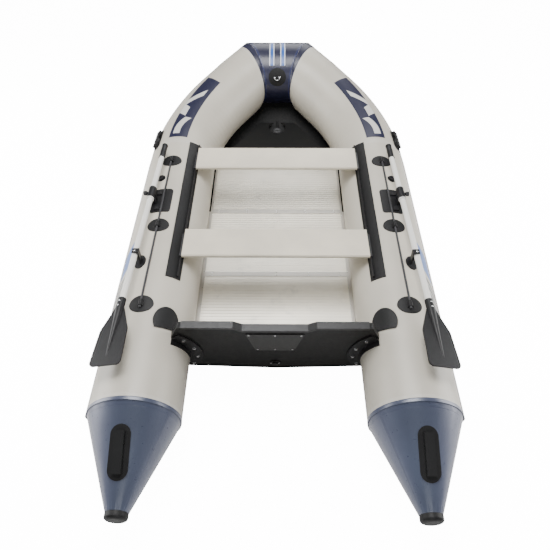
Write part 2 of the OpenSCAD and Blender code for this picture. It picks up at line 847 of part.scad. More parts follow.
lug_gap = block_y / 2 + FIT;
lug_t = 8;
module rowlock_base() {
    pad_t = 4;
    base_angle = 7;
    shoulder = 62;
    color("black") {
        tube_patch(lock_y + 5, base_angle, pad_t) polygon(round_rect(58, 96, 18));
        difference() {
            union()
                for (s = [-1, 1]) {
                    translate([lock_x - 15, lock_y + s * (lug_gap + lug_t / 2) - lug_t / 2, lock_z - 34])
                        cube([30, lug_t, 48]);
                    translate([lock_x - 42, lock_y + s * shoulder - 14, lock_z - 34]) cube([30, 28, 32]);
                }
            translate([tube_half_spacing, lock_y - 200, tube_r])
                rotate([-90, 0, 0]) cylinder(h = 400, r = shaft_out_r + pad_t / 2);
            translate([lock_x, lock_y - 40, lock_z])
                rotate([-90, 0, 0]) cylinder(h = 80, r = trunnion_r + PIN_GAP);
        }
    }
}
module rowlock_base_port() { port() rowlock_base(); }
module rowlock_base_starboard() { rowlock_base(); }

// Rocking block: trunnions fore and aft, and an upright bore for the collar's pin
module rowlock_block() {
    color("dimgray")
        difference() {
            union() {
                translate([lock_x - block_x / 2, lock_y - block_y / 2, block_z0])
                    cube([block_x, block_y, block_z1 - block_z0]);
                translate([lock_x, lock_y - block_y / 2 - trunnion_len, lock_z])
                    rotate([-90, 0, 0]) cylinder(h = block_y + 2 * trunnion_len, r = trunnion_r);
            }
            translate([lock_x, lock_y, swivel_pin_z - 1])
                cylinder(h = 40, r = swivel_pin_r + PIN_GAP);
        }
}
module rowlock_block_port() { port() rowlock_block(); }
module rowlock_block_starboard() { rowlock_block(); }

// Axes along a stowed oar: +Y forward along the shaft, from the rowlock
module on_oar() {
    translate([lock_x, lock_y, oar_z]) rotate([0, 0, oar_toe]) children();
}
module oar_collar() {
    color("black")
        difference() {
            union() {
                on_oar()
                    rotate([90, 0, 0]) cylinder(h = collar_len, r = collar_r, center = true);
                translate([lock_x, lock_y, swivel_pin_z])
                    cylinder(h = oar_z - collar_r - swivel_pin_z + 6, r = swivel_pin_r);
                translate([lock_x, lock_y, block_z1 + FIT])
                    cylinder(h = oar_z - collar_r - block_z1 + 4, r = swivel_pin_r + 4);
                on_oar()
                    translate([collar_r - 3, 0, 0]) rotate([0, 90, 0]) cylinder(h = 10, r = 9);
            }
            on_oar()
                rotate([90, 0, 0]) cylinder(h = collar_len + 2, r = shaft_r + PIN_GAP, center = true);
            on_oar()
                translate([shaft_r + 1, 0, 0]) rotate([0, 90, 0]) cylinder(h = 20, r = 4 + PIN_GAP);
        }
}
module oar_collar_port() { port() oar_collar(); }
module oar_collar_starboard() { oar_collar(); }

module collar_knob() {
    head_at = collar_r + 7 + FIT;
    color("dimgray")
        on_oar()
            rotate([0, 90, 0])
                difference() {
                    union() {
                        translate([0, 0, shaft_r + 1.5]) cylinder(h = head_at - shaft_r, r = 4);
                        translate([0, 0, head_at]) cylinder(h = 16, r = 13);
                    }
                    for (a = [0 : 45 : 315])
                        rotate([0, 0, a])
                            translate([15.5, 0, head_at - 1]) cylinder(h = 20, r = 4.5);
                }
}
module collar_knob_port() { port() collar_knob(); }
module collar_knob_starboard() { collar_knob(); }

shaft_fore = oar_fore - 12;
module oar_shaft() {
    stop_r = shaft_r + 5;
    color("ivory")
        on_oar()
            rotate([90, 0, 0])
                difference() {
                    union() {
                        translate([0, 0, -shaft_fore])
                            cylinder(h = shaft_fore + socket_at + socket_len - 8, r = shaft_r);
                        for (z = [-collar_len / 2 - FIT - 7, collar_len / 2 + FIT])
                            translate([0, 0, z]) cylinder(h = 7, r = stop_r);
                    }
                    translate([0, 0, -shaft_fore - 1])
                        cylinder(h = shaft_fore + socket_at + socket_len, r = shaft_r - 1.8);
                }
}
module oar_shaft_port() { port() oar_shaft(); }
module oar_shaft_starboard() { oar_shaft(); }

module oar_grip() {
    color("black")
        on_oar()
            translate([0, oar_fore, 0])
                rotate([90, 0, 0])
                    difference() {
                        rotate_extrude()
                            polygon([
                                [0, 0], [grip_r - 4, 0], [grip_r, 4], [grip_r, 10], [grip_r - 1.5, 22],
                                [grip_r, 60], [grip_r - 1, grip_len - 8], [grip_r + 1, grip_len], [0, grip_len]
                            ]);
                        translate([0, 0, 12]) cylinder(h = grip_len, r = shaft_r + SEAT_GAP);
                    }
}
module oar_grip_port() { port() oar_grip(); }
module oar_grip_starboard() { oar_grip(); }

module oar_blade() {
    root_w = 2 * shaft_r + 10;
    tip_r = 22;
    color([0.13, 0.13, 0.14])
        on_oar()
            translate([0, -socket_at, 0])
                rotate([0, blade_tilt, 0])
                    difference() {
                        union() {
                            rotate([90, 0, 0]) cylinder(h = socket_len + 10, r = shaft_r + 4);
                            translate([0, -socket_len - 10, 0])
                                rotate([90, 0, 0]) cylinder(h = blade_len * 0.8, r1 = shaft_r + 4, r2 = 5);
                            translate([0, 0, -blade_t / 2])
                                linear_extrude(blade_t)
                                    hull() {
                                        translate([-root_w / 2, -socket_len + 10]) square([root_w, 6]);
                                        translate([0, -socket_len - blade_len * 0.42]) circle(r = blade_w * 0.46);
                                        for (s = [-1, 1])
                                            translate([s * (blade_w / 2 - tip_r), -socket_len - blade_len + tip_r])
                                                circle(r = tip_r);
                                    }
                        }
                        translate([0, 1, 0])
                            rotate([90, 0, 0]) cylinder(h = socket_len, r = shaft_r + SEAT_GAP);
                    }
}
module oar_blade_port() { port() oar_blade(); }
module oar_blade_starboard() { oar_blade(); }

// Clip that cradles each stowed shaft, open to the outboard side
clip_len = 30;
clip_wall = 4;
clip_sag = 6;
module oar_clips() {
    pad_t = 4;
    x = lock_x + clip_at * sin(oar_toe);
    y = lock_y - clip_at;
    inner = shaft_r + 3;
    pad_a = asin((x - tube_half_spacing - 12) / tube_r);
    color("black")
        both() {
            tube_patch(y, pad_a, pad_t) polygon(ellipse_points(32, 44));
            difference() {
                translate([x - inner - clip_wall, y - clip_len / 2, oar_z - 78])
                    cube([inner + clip_wall + 12, clip_len, 78 + inner + clip_wall]);
                translate([x - inner, y - clip_len, oar_z - inner - clip_sag])
                    cube([60, 2 * clip_len, 2 * inner + clip_sag]);
                translate([x - inner + 4, y - clip_len, oar_z - 90])
                    cube([60, 2 * clip_len, 90 - inner - clip_wall - clip_sag]);
                translate([tube_half_spacing, y - 100, tube_r])
                    rotate([-90, 0, 0]) cylinder(h = 200, r = shaft_out_r + pad_t / 2);
            }
        }
}

// ---------- ropes and fittings ----------

rope_r = rope_d / 2;
module rope_pads() {
    eye_in = rope_r + 0.6;
    eye_out = eye_in + 4;
    eye_len = 34;
    color("black")
        both()
            for (d = pad_at) {
                tube_patch(seam_y + d, pad_angle, rope_pad_t) polygon(ellipse_points(60, 50));
                on_tube(seam_y + d, pad_angle, rope_lift)
                    rotate([90, 0, 0])
                        difference() {
                            union() {
                                cylinder(h = eye_len, r = eye_out, center = true);
                                translate([-eye_out - 4, -eye_in - 1.5, -eye_len / 2])
                                    cube([2 * eye_out + 8, 6, eye_len]);
                            }
                            cylinder(h = eye_len + 2, r = eye_in, center = true);
                        }
            }
}

// The rope runs straight from eye to eye, and swells to a knot past each end
module grab_rope() {
    knot_r = rope_r * 1.3;
    reach = 25;
    y0 = seam_y + pad_at[0] - reach;
    y1 = seam_y + pad_at[2] + reach;
    color("black")
        on_tube(y1, pad_angle, rope_lift)
            rotate([90, 0, 0]) {
                cylinder(h = y1 - y0, r = rope_r);
                for (z = [0, y1 - y0]) translate([0, 0, z]) sphere(r = knot_r);
            }
}
module grab_rope_port() { port() grab_rope(); }
module grab_rope_starboard() { grab_rope(); }

// Towing ring on the inboard face of the bow tube
ring_patch_r = 62;
ring_angle = 68;
ring_r = 20;
ring_wire = 3.5;
ring_patch_t = 3;
ring_lift = ring_patch_t + ring_wire + 1.6;
module on_bow(lift_by) {
    translate([0, bow_y, bow_z]) rotate([ring_angle, 0, 0]) translate([0, 0, tube_r + lift_by]) children();
}
module bow_ring_patch() {
    strap_w = 26;
    bore = ring_wire + PIN_GAP;
    color("black") {
        intersection() {
            translate([0, bow_y, bow_z])
                rotate([0, 90, 0])
                    difference() {
                        cylinder(h = 200, r = shaft_out_r + ring_patch_t, center = true);
                        cylinder(h = 202, r = shaft_out_r, center = true);
                    }
            on_bow(-60) cylinder(h = 120, r = ring_patch_r);
        }
        on_bow(ring_lift)
            difference() {
                union() {
                    rotate([0, 90, 0]) cylinder(h = strap_w, r = bore + 2.5, center = true);
                    translate([-strap_w / 2, -bore - 5, -bore - 3]) cube([strap_w, 2 * bore + 10, 5]);
                }
                rotate([0, 90, 0]) cylinder(h = strap_w + 2, r = bore, center = true);
            }
    }
}
module bow_ring() {
    color("silver")
        on_bow(ring_lift) {
            rotate([0, 90, 0]) cylinder(h = 2 * ring_r + ring_wire, r = ring_wire - 0.02, center = true);
            rotate([0, 0, 180])
                rotate_extrude(angle = 180)
                    translate([ring_r, 0]) circle(r = ring_wire);
        }
}

side_valve_at = 1430;
side_valve_angle = 15.5;
side_valve_r = 26;
module on_side_valve(lift_by) { on_tube(seam_y + side_valve_at, side_valve_angle, lift_by) children(); }
module inflation_valves() {
    color("black") {
        both() on_side_valve(FIT) valve_body(side_valve_r);
        on_keel_valve() valve_body(valve_r);
    }
}
module valve_cap_starboard() { color("dimgray") on_side_valve(2 * FIT + 8) valve_cap(side_valve_r); }
module valve_cap_port() { port() valve_cap_starboard(); }

// Rubber rubbing band round the outside of the whole tube
strake_angles = [85, 87, 90, 93, 95];
function strake_ring(f) = concat(
    [for (a = strake_angles) at_frame(f, tube_r + (a == 85 || a == 95 ? 4 : strake_out), a)],
    [at_frame(f, tube_r + 0.5, 95), at_frame(f, tube_r + 0.5, 90), at_frame(f, tube_r + 0.5, 85)]
);
module rubbing_strake() {
    half = concat([strake_ring(along(seam_y + 10))], [for (f = arm_frames) strake_ring(f)]);
    n = len(half);
    color("gray")
        sweep(concat(half, [for (i = [n - 1 : -1 : 0]) [for (p = half[i]) flip_x(p)]]));
}

side_tube_port();
side_tube_starboard();
bow_arm_port();
bow_arm_starboard();
bow_tube();
chamber_baffles();
stern_cone_port();
stern_cone_starboard();
cone_caps();
cone_handles();
hull_bottom();
keel_tube();
keel_valve_cap();
bow_board();
floor_panel_aft();
floor_panel_mid();
floor_panel_fore();
floor_joiners();
floor_stringers();
transom_board();
transom_trim();
transom_holder_port();
transom_holder_starboard();
transom_bolts();
transom_cheeks();
motor_pads();
motor_pad_screws();
drain_flange();
drain_plug();
bench_track_port();
bench_track_starboard();
bench_front();
bench_rear();
bench_front_hooks();
bench_rear_hooks();
rowlock_base_port();
rowlock_base_starboard();
rowlock_block_port();
rowlock_block_starboard();
oar_collar_port();
oar_collar_starboard();
collar_knob_port();
collar_knob_starboard();
oar_shaft_port();
oar_shaft_starboard();
oar_grip_port();
oar_grip_starboard();
oar_blade_port();
oar_blade_starboard();
oar_clips();
rope_pads();
grab_rope_port();
grab_rope_starboard();
side_handles();
bow_ring_patch();
bow_ring();
inflation_valves();
valve_cap_port();
valve_cap_starboard();
rubbing_strake();
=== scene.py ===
"""Looks for the inflatable dinghy: fabric skins, rope, small hardware, materials, floor, lights and camera.

Every new piece is a parametric surface in the row frame, in metres, with the same sizes as the CAD parts.
"""
import json
import math

import bpy
import numpy as np
from mathutils import Matrix, Vector


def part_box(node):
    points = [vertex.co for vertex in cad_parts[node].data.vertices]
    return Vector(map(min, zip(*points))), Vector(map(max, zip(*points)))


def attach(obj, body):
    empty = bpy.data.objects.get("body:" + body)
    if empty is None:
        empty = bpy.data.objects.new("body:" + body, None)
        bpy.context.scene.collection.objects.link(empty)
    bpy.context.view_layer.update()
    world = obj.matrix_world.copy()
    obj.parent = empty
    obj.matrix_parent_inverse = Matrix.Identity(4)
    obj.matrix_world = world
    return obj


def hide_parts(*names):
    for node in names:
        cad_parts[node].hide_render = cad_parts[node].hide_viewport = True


bl_info = {
    "name": "Inflatable dinghy looks",
    "version": (1, 0, 0),
    "blender": (4, 5, 0),
    "location": "View3D > Sidebar > Dinghy",
    "description": "Builds the dinghy's fabric skins, rope, hardware, materials and stage",
    "category": "Object",
}

# Sizes shared by several pieces, in metres and degrees
TUBE_R = 0.210
HALF_SPACING = 0.628
STRAIGHT = 1.800
BEND_R = 0.950
BEND = math.radians(42)
MITRE_HALF = 0.178
BOW_RISE = 0.190
CONE_LEN = 0.395
CONE_END_R = 0.047
CAP_LEN = 0.030
STRAKE_OUT = 0.014
BEND_X = BEND_R * (1 - math.cos(BEND))
BEND_Y = BEND_R * math.sin(BEND)
RUN_X = HALF_SPACING - BEND_X - MITRE_HALF
ARM_Y = BEND_Y + RUN_X / math.tan(BEND)
SEAM_Y = -(CAP_LEN + CONE_LEN + STRAIGHT + ARM_Y + TUBE_R + STRAKE_OUT) / 2 + CAP_LEN + CONE_LEN
ARC_Y = SEAM_Y + STRAIGHT
BOW_Y = ARC_Y + ARM_Y
BOW_Z = TUBE_R + BOW_RISE
ARC_LEN = BEND_R * BEND
PATH_LEN = ARC_LEN + RUN_X / math.sin(BEND)
MITRE_TAN = math.tan((math.pi / 2 - BEND) / 2)
TRANSOM_Y = SEAM_Y + 0.395
RAKE = math.radians(9)
ROPE_R = 0.0055
ROPE_REACH = TUBE_R + 0.0101
ROPE_ANGLE = math.radians(4)
ROPE_FIRST_PAD = 0.495
ROPE_LAST_PAD = 1.590
ROPE_TAIL = 0.028
LOCK_OUT = 0.069
LOCK_ALONG = 1.225
OAR_Z = 0.476
OAR_TOE = math.radians(1.5)
BLADE_TILT = math.radians(15)
CLIP_BACK = 0.455
FLOOR_HALF_W = 0.412
FLOOR_REACH = 9
FLOOR_Z = -0.001

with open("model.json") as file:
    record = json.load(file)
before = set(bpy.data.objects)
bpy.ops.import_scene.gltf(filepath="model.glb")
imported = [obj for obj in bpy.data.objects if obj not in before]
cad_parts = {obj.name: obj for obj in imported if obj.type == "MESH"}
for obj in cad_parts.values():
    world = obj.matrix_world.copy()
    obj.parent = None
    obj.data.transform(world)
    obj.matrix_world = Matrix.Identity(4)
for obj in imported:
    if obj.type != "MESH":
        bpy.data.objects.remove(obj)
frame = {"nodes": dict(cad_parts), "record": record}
node_of = frame["nodes"]


class DinghySettings(bpy.types.PropertyGroup):
    """Settings shared by the pieces."""

    rings_along: bpy.props.IntProperty(
        name="Rings along a tube", description="Cross-sections along each side tube and its arm",
        default=300, min=60, max=600)
    sides: bpy.props.IntProperty(
        name="Points round a tube", description="Points in each cross-section of a tube or cone",
        default=144, min=48, max=256)
    pucker: bpy.props.FloatProperty(
        name="Pucker height at the seams", description="Depth of the puckers in the fabric beside a seam",
        default=0.0011, min=0, max=0.004, unit="LENGTH", precision=4)
    lay_len: bpy.props.FloatProperty(
        name="Lay length of the rope", description="Length of one full turn of the rope's strands",
        default=0.026, min=0.01, max=0.05, unit="LENGTH", precision=4)
    key_power: bpy.props.FloatProperty(
        name="Power of the key light", description="Power of the large light overhead",
        default=230, min=0, max=2000, unit="POWER")
    floor_glow: bpy.props.FloatProperty(
        name="Glow of the floor in the view", description="Light the camera sees from the floor",
        default=14.0, min=0, max=30)
    fill_power: bpy.props.FloatProperty(
        name="Power of the fill lights", description="Power of each side light; the end lights take a share",
        default=120, min=0, max=2000, unit="POWER")


# ---------- meshes ----------


def new_object(name, points, faces, smooth=True):
    """Makes an object at the origin from points (n, 3) and a list of faces."""
    mesh = bpy.data.meshes.new(name)
    mesh.from_pydata([tuple(p) for p in np.asarray(points, float)], [], faces)
    mesh.validate()
    mesh.polygons.foreach_set("use_smooth", [smooth] * len(mesh.polygons))
    mesh.update()
    obj = bpy.data.objects.new(name, mesh)
    bpy.context.scene.collection.objects.link(obj)
    return obj


def volume(points, faces):
    """Signed volume: the sum of a . (b x c) / 6 over each face's fan."""
    total = 0.0
    for f in faces:
        a = points[f[0]]
        for i in range(1, len(f) - 1):
            total += float(np.dot(a, np.cross(points[f[i]], points[f[i + 1]]))) / 6
    return total


def loft_parts(rings):
    """Points and faces of a closed loft: quads between rings (n, m, 3) and a fan to each end's middle."""
    n, m = rings.shape[:2]
    points = np.concatenate([rings.reshape(-1, 3), [rings[0].mean(0)], [rings[-1].mean(0)]])
    i, j = np.meshgrid(np.arange(n - 1), np.arange(m), indexing="ij")
    k = (j + 1) % m
    quads = np.stack([i * m + j, i * m + k, (i + 1) * m + k, (i + 1) * m + j], -1).reshape(-1, 4)
    faces = [tuple(int(v) for v in q) for q in quads]
    faces += [(n * m, (q + 1) % m, q) for q in range(m)]
    faces += [(n * m + 1, (n - 1) * m + q, (n - 1) * m + (q + 1) % m) for q in range(m)]
    if volume(points - points.mean(0), faces) < 0:
        faces = [f[::-1] for f in faces]
    return points, faces


def loft(name, rings, attributes=None, smooth=True):
    """A closed loft with optional point attributes, each (n, m)."""
    points, faces = loft_parts(rings)
    obj = new_object(name, points, faces, smooth)
    for key, grid in (attributes or {}).items():
        grid = np.broadcast_to(grid, rings.shape[:2]).astype(np.float32)
        values = np.concatenate([grid.reshape(-1), [grid[0].mean()], [grid[-1].mean()]])
        obj.data.attributes.new(key, "FLOAT", "POINT").data.foreach_set("value", values.astype(np.float32))
    return obj


def merge(name, parts, smooth=True):
    """One object from several (points, faces) parts."""
    points, faces, start = [], [], 0
    for p, f in parts:
        points.append(p)
        faces += [tuple(v + start for v in face) for face in f]
        start += len(p)
    return new_object(name, np.concatenate(points), faces, smooth)


def stud(centre, normal, radius, height, sides=20):
    """Domed stud: rings at heights h sin t and radii r cos t for t from 0 to 80 degrees, on a short wall."""
    n = np.array(normal, float) / np.linalg.norm(normal)
    u = np.cross(n, [0.0, 0.0, 1.0] if abs(n[2]) < 0.9 else [1.0, 0.0, 0.0])
    u /= np.linalg.norm(u)
    v = np.cross(n, u)
    a = np.linspace(0, 2 * math.pi, sides, endpoint=False)[None, :, None]
    t = np.radians([0, 0, 25, 50, 68, 80])
    r = (radius * np.cos(t))[:, None, None]
    h = (height * np.array([-0.4, 0.3, 0.6, 0.85, 0.96, 1.0]))[:, None, None]
    return loft_parts(np.array(centre, float) + r * (np.cos(a) * u + np.sin(a) * v) + h * n)


def lift(y):
    """Lift of the tube's axis: rise ((y - arc) / arm)^2 past the start of the bend."""
    return BOW_RISE * (np.maximum(y - ARC_Y, 0) / ARM_Y) ** 2


def tube_frames(d):
    """Centre, outboard and up vectors of the starboard tube at distance d from the stern seam.

    Straight to 1.8 m; then x = spacing - R (1 - cos s/R), y = arc + R sin s/R; then straight to the mitre,
    where the outboard vector is sheared onto the mitre's plane.
    """
    s = np.maximum(d - STRAIGHT, 0)
    last = PATH_LEN * 12 / 14
    inside = np.minimum(s, last)
    a = np.minimum(inside / BEND_R, BEND)
    over = np.maximum(inside - ARC_LEN, 0)
    x = HALF_SPACING - BEND_R * (1 - np.cos(a)) - over * np.sin(a)
    y = np.where(s > 0, ARC_Y + BEND_R * np.sin(a) + over * np.cos(a), SEAM_Y + d)
    slope = np.where(y > ARC_Y, 2 * BOW_RISE * (y - ARC_Y) / ARM_Y**2, 0)
    p = np.arctan(slope * np.cos(a))
    centre = np.stack([x, y, TUBE_R + lift(y)], -1)
    out = np.stack([np.cos(a), np.sin(a), 0 * a], -1)
    up = np.stack([np.sin(a) * np.sin(p), -np.cos(a) * np.sin(p), np.cos(p)], -1)
    w = np.clip((s - last) / (PATH_LEN - last), 0, 1)[:, None]
    centre = centre * (1 - w) + np.array([MITRE_HALF, BOW_Y, BOW_Z]) * w
    out = out * (1 - w) + np.array([MITRE_TAN, 1.0, 0.0]) * w
    up = up * (1 - w) + np.array([0.0, 0.0, 1.0]) * w
    return centre, out, up


def flip(rings, side):
    """Mirror image of rings for the port side."""
    return rings if side > 0 else rings * np.array([-1.0, 1.0, 1.0])


def tube_skin(name, side, settings):
    """Tube skin: p = c(d) + r (out sin a + up cos a), r = R - h (1 + sin 34 a) / 2 near the seams."""
    d = np.linspace(0, STRAIGHT + PATH_LEN, settings.rings_along)
    a = np.linspace(-math.pi, math.pi, settings.sides, endpoint=False)
    c, out, up = tube_frames(d)
    near = sum(np.exp(-(((d - s) / 0.022) ** 2)) for s in (0.02, STRAIGHT, STRAIGHT + PATH_LEN - 0.03))
    near = np.minimum(near, 1)[:, None]
    bend = np.clip((d - STRAIGHT) / 0.15, 0, 1)[:, None]
    bend = bend * np.clip((STRAIGHT + PATH_LEN - d) / 0.2, 0, 1)[:, None]
    inner = np.clip(-np.sin(a), 0, 1)[None, :] ** 2
    ripple = settings.pucker * near * (0.5 + 0.5 * np.sin(34 * a)[None, :])
    ripple = ripple + 0.0009 * bend * inner * (0.5 + 0.5 * np.sin(2 * math.pi * d / 0.052)[:, None])
    r = (TUBE_R + 0.0002 - ripple)[:, :, None]
    ray = np.sin(a)[None, :, None] * out[:, None] + np.cos(a)[None, :, None] * up[:, None]
    rings = c[:, None] + r * ray
    return loft(name, flip(rings, side), {"along": d[:, None], "around": np.degrees(a)[None, :]})


def bow_skin():
    """Bow tube: p = (x, bow_y + r sin a, bow_z + r cos a), with x running out to the mitre planes."""
    a = np.linspace(-math.pi, math.pi, 160, endpoint=False)
    t = np.linspace(-1, 1, 81)
    reach = MITRE_HALF + TUBE_R * np.sin(a) * MITRE_TAN
    x = t[:, None] * reach[None, :]
    edge = np.exp(-(((1 - np.abs(t)) / 0.08) ** 2))[:, None]
    r = TUBE_R + 0.0012 - 0.0007 * edge * (0.5 + 0.5 * np.sin(30 * a))[None, :]
    rings = np.stack([x, BOW_Y + r * np.sin(a)[None, :], BOW_Z + r * np.cos(a)[None, :]], -1)
    ends = np.abs(x) / reach[None, :]
    return loft("bow_skin", rings, {"along": x, "around": np.degrees(a)[None, :], "edge": ends})


def cone_skin(name, side, settings):
    """Stern cone: the radius falls evenly from R to the end radius with t, less the gore puckers."""
    t = np.linspace(0, 1, 90)[:, None]
    a = np.linspace(-math.pi, math.pi, settings.sides, endpoint=False)[None, :]
    near = np.exp(-((t / 0.05) ** 2)) + np.exp(-(((1 - t) / 0.07) ** 2))
    r = TUBE_R + (CONE_END_R - TUBE_R) * t + 0.0012 - 0.0009 * near * (0.5 + 0.5 * np.sin(28 * a))
    y = SEAM_Y + 0.006 - (CONE_LEN + 0.006) * t + 0 * a
    rings = np.stack([HALF_SPACING + r * np.sin(a), y, TUBE_R + r * np.cos(a)], -1)
    return loft(name, flip(rings, side), {"along": t * CONE_LEN, "around": np.degrees(a) + 0 * t})


def rope_skin(name, side, settings):
    """Laid rope: radius 5.5 mm (0.88 + 0.12 |cos 1.5 (a - 2 pi d / lay)|), swelling to a knot at each end."""
    y0, y1 = SEAM_Y + ROPE_FIRST_PAD - ROPE_TAIL, SEAM_Y + ROPE_LAST_PAD + ROPE_TAIL
    y = np.linspace(y0, y1, 700)
    a = np.linspace(0, 2 * math.pi, 24, endpoint=False)
    turn = 2 * math.pi * (y - y0) / settings.lay_len
    strand = 0.88 + 0.12 * np.abs(np.cos(1.5 * (a[None, :] - turn[:, None])))
    knot = np.exp(-(((y - y0 - 0.006) / 0.0045) ** 4)) + np.exp(-(((y1 - y - 0.006) / 0.0045) ** 4))
    r = ROPE_R * strand * (1 + 0.32 * knot[:, None])
    cx = HALF_SPACING + ROPE_REACH * math.sin(ROPE_ANGLE)
    cz = TUBE_R + ROPE_REACH * math.cos(ROPE_ANGLE)
    rings = np.stack([cx + r * np.cos(a)[None, :], y[:, None] + 0 * r, cz + r * np.sin(a)[None, :]], -1)
    obj = loft(name, flip(rings, side), {"turn": turn[:, None]})
    path = [(side * cx, float(v), cz) for v in np.linspace(y0, y1, 60)]
    return obj, path


def seam_band(name, side, d0, d1, height, a0=-180.0, a1=180.0):
    """Raised tape round the tube: a closed strip from d0 to d1, height (1 - u^6) above the skin."""
    a = np.radians(np.linspace(a0, a1, 145))
    u = np.linspace(-1, 1, 13)
    d = (d0 + d1) / 2 + (d1 - d0) / 2 * u
    c, out, up = tube_frames(d)
    crown = height * (1 - u**6) + 0.0003
    rows = []
    for extra in (crown, np.full_like(crown, -0.0015)):
        r = (TUBE_R + extra)[None, :, None]
        ray = np.sin(a)[:, None, None] * out[None] + np.cos(a)[:, None, None] * up[None]
        rows.append(c[None] + r * ray)
    rings = np.concatenate([rows[0], rows[1][:, ::-1]], 1)
    return loft(name, flip(rings, side))


# ---------- shader helpers ----------


def put(shader, name, value):
    """Sets a constant on the Principled shader."""
    shader.inputs[name].default_value = value


def mathn(nt, op, a, b=0.0, c=0.0):
    """A math node on sockets or numbers; returns its output."""
    n = nt.nodes.new("ShaderNodeMath")
    n.operation = op
    for i, v in enumerate((a, b, c)):
        if isinstance(v, (int, float)):
            n.inputs[i].default_value = v
        else:
            nt.links.new(v, n.inputs[i])
    return n.outputs[0]


def step(nt, x, low, high):
    """Smooth step from 0 at low to 1 at high."""
    n = nt.nodes.new("ShaderNodeMapRange")
    n.interpolation_type = "SMOOTHSTEP"
    nt.links.new(x, n.inputs["Value"])
    n.inputs["From Min"].default_value = low
    n.inputs["From Max"].default_value = high
    return n.outputs[0]


def window(nt, x, low, high, soft=0.0008):
    """1 between low and high, with soft edges."""
    return mathn(nt, "MULTIPLY", step(nt, x, low - soft, low + soft), step(nt, x, high + soft, high - soft))


def attribute(nt, name):
    """A float attribute of the mesh."""
    n = nt.nodes.new("ShaderNodeAttribute")
    n.attribute_name = name
    return n.outputs["Fac"]


def mix(nt, fac, a, b):
    """Colour mix; a and b are sockets or colours."""
    n = nt.nodes.new("ShaderNodeMix")
    n.data_type = "RGBA"
    for slot, v in ((n.inputs[0], fac), (n.inputs[6], a), (n.inputs[7], b)):
        if isinstance(v, bpy.types.NodeSocket):
            nt.links.new(v, slot)
        elif isinstance(v, (int, float)):
            slot.default_value = v
        else:
            slot.default_value = (*v, 1)
    return n.outputs[2]


def noise(nt, co, scale, detail=4.0, rough=0.55, stretch=None):
    """Noise on Object coordinates, stretched if wanted."""
    if stretch:
        m = nt.nodes.new("ShaderNodeMapping")
        m.inputs["Scale"].default_value = stretch
        nt.links.new(co, m.inputs["Vector"])
        co = m.outputs[0]
    n = nt.nodes.new("ShaderNodeTexNoise")
    n.inputs["Scale"].default_value = scale
    n.inputs["Detail"].default_value = detail
    n.inputs["Roughness"].default_value = rough
    nt.links.new(co, n.inputs["Vector"])
    return n.outputs["Fac"]


def base_material(name, rgb, rough, mottle=0.06, grain=900.0, bump=0.08, metallic=0.0, coat=0.0, stretch=None,
                  soil=0.10, specular=0.5):
    """Common finish: two scales of colour mottling, uneven gloss and a fine grain bump. Returns its parts."""
    mat = bpy.data.materials.new(name)
    mat.use_nodes = True
    nt = mat.node_tree
    shader = nt.nodes["Principled BSDF"]
    co = nt.nodes.new("ShaderNodeTexCoord").outputs["Object"]
    broad = noise(nt, co, 2.6, 3)
    fine = noise(nt, co, 60, 5, 0.6, stretch)
    dark = tuple(v * (1 - mottle * 1.6) for v in rgb)
    light = tuple(min(1, v * (1 + mottle)) for v in rgb)
    colour = mix(nt, step(nt, broad, 0.3, 0.7), dark, light)
    speck = mathn(nt, "MULTIPLY", step(nt, fine, 0.52, 0.75), soil)
    colour = mix(nt, speck, colour, tuple(v * 0.72 for v in rgb))
    gloss = mathn(nt, "ADD", mathn(nt, "MULTIPLY", fine, 0.16), rough - 0.08)
    tiny = noise(nt, co, grain, 3, 0.6, stretch)
    b = nt.nodes.new("ShaderNodeBump")
    b.inputs["Strength"].default_value = bump
    b.inputs["Distance"].default_value = 0.0006
    nt.links.new(tiny, b.inputs["Height"])
    nt.links.new(colour, shader.inputs["Base Color"])
    nt.links.new(gloss, shader.inputs["Roughness"])
    nt.links.new(b.outputs[0], shader.inputs["Normal"])
    put(shader, "Metallic", metallic)
    put(shader, "Coat Weight", coat)
    put(shader, "Coat Roughness", 0.25)
    put(shader, "Specular IOR Level", specular)
    return {"mat": mat, "nt": nt, "shader": shader, "co": co, "colour": colour, "gloss": gloss, "bump": b}


def weave(parts, threads, amount):
    """Adds a fine weave to a finish: the product of two crossed sine waves, in bump only."""
    nt = parts["nt"]
    sep = nt.nodes.new("ShaderNodeSeparateXYZ")
    nt.links.new(parts["co"], sep.inputs[0])
    diag = mathn(nt, "ADD", sep.outputs[0], sep.outputs[2])
    wave = mathn(nt, "MULTIPLY", mathn(nt, "SINE", mathn(nt, "MULTIPLY", diag, threads)),
                 mathn(nt, "SINE", mathn(nt, "MULTIPLY", sep.outputs[1], threads)))
    b = nt.nodes.new("ShaderNodeBump")
    b.inputs["Strength"].default_value = amount
    b.inputs["Distance"].default_value = 0.0003
    nt.links.new(wave, b.inputs["Height"])
    nt.links.new(parts["bump"].outputs[0], b.inputs["Normal"])
    nt.links.new(b.outputs[0], parts["shader"].inputs["Normal"])
    parts["bump"] = b


def set_colour(parts, colour):
    """Makes colour the finish's base colour."""
    parts["nt"].links.new(colour, parts["shader"].inputs["Base Color"])
    parts["colour"] = colour


def raised(parts, mask, height):
    """Adds a mask to the bump as a low step."""
    nt = parts["nt"]
    b = nt.nodes.new("ShaderNodeBump")
    b.inputs["Strength"].default_value = 0.6
    b.inputs["Distance"].default_value = height
    nt.links.new(mask, b.inputs["Height"])
    nt.links.new(parts["bump"].outputs[0], b.inputs["Normal"])
    nt.links.new(b.outputs[0], parts["shader"].inputs["Normal"])
    parts["bump"] = b


GREY = (0.50, 0.468, 0.400)
NAVY = (0.012, 0.013, 0.036)
SLATE = (0.060, 0.074, 0.115)


